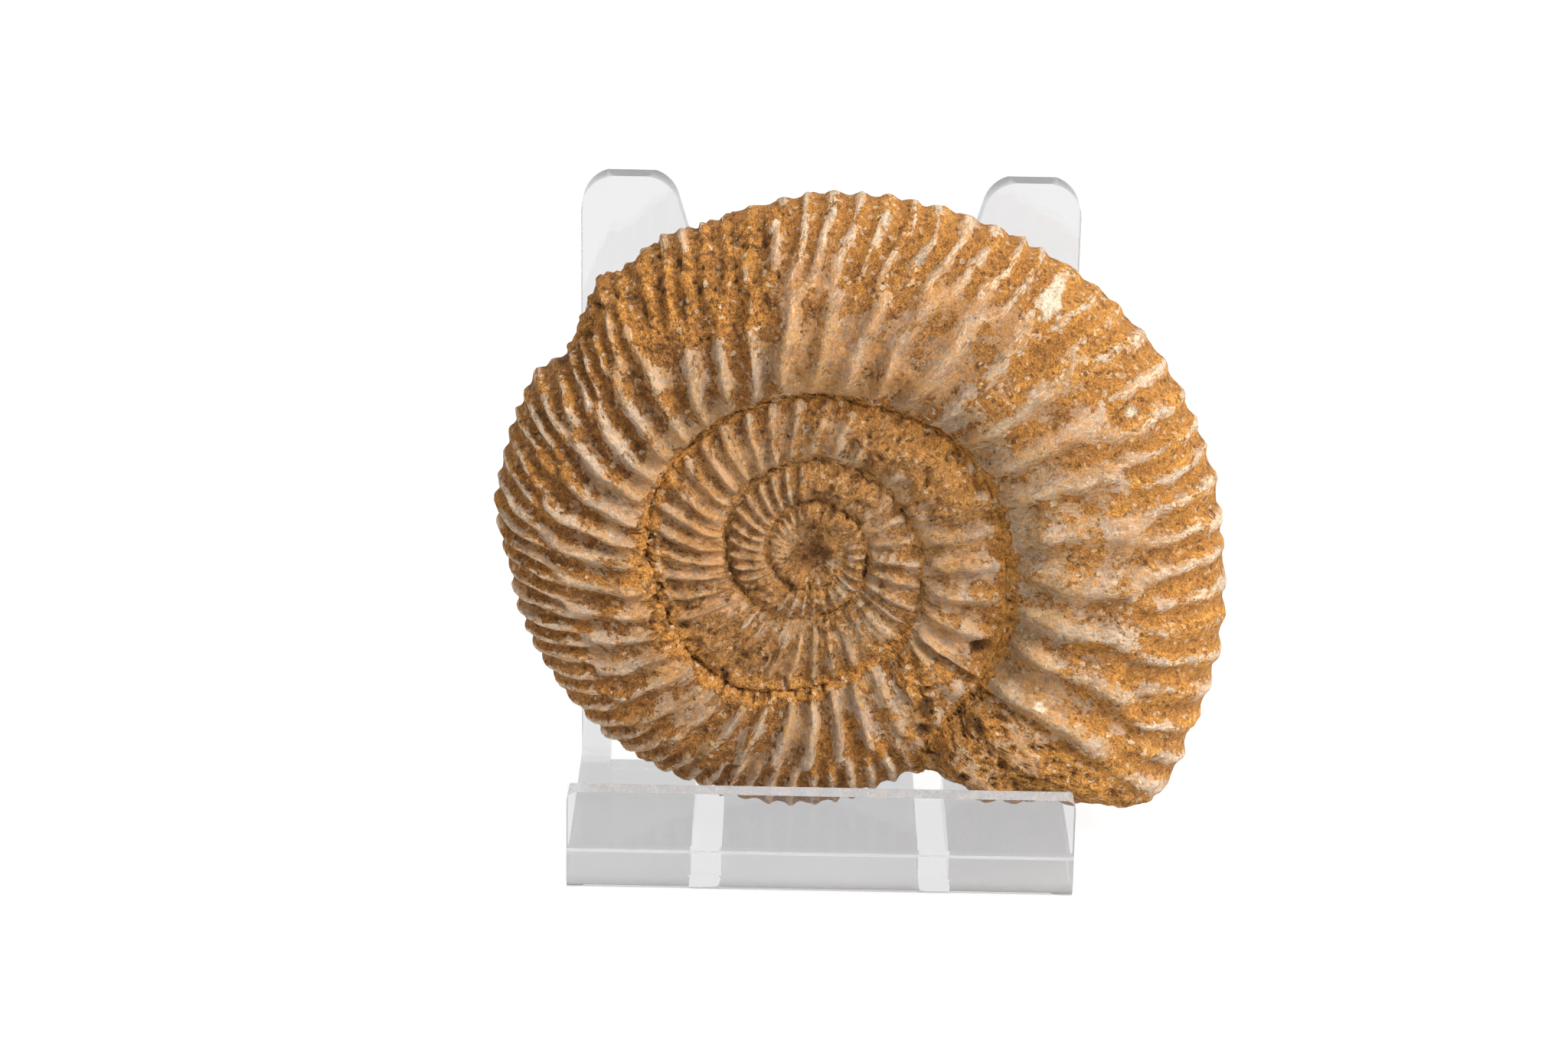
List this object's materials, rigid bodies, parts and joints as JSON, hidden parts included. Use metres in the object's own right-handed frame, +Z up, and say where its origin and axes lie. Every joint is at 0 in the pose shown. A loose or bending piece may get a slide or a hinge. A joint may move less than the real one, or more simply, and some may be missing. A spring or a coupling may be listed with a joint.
{
  "type": "fossil ammonite",
  "caption": "Ribbed coiled fossil ammonite resting upright on a clear display stand bent from one sheet, with a front lip and two rear prongs",
  "frame": {"origin": "centre of the bounding box on the surface that the stand stands on", "axes": "X is the width, to the viewer's right; Y runs from the lip to the rear foot; Z is up. The face of the fossil looks towards -Y."},
  "size_m": [0.1216, 0.0626, 0.1095],
  "materials": {
    "fossil_stone": "matt limestone, grey-beige on the worn ribs and orange ochre in the furrows",
    "clear_acrylic": "polished clear acrylic"
  },
  "bodies": {
    "root": {"ammonite": "fossil_stone", "display_stand": "clear_acrylic"}
  },
  "joints": []
}
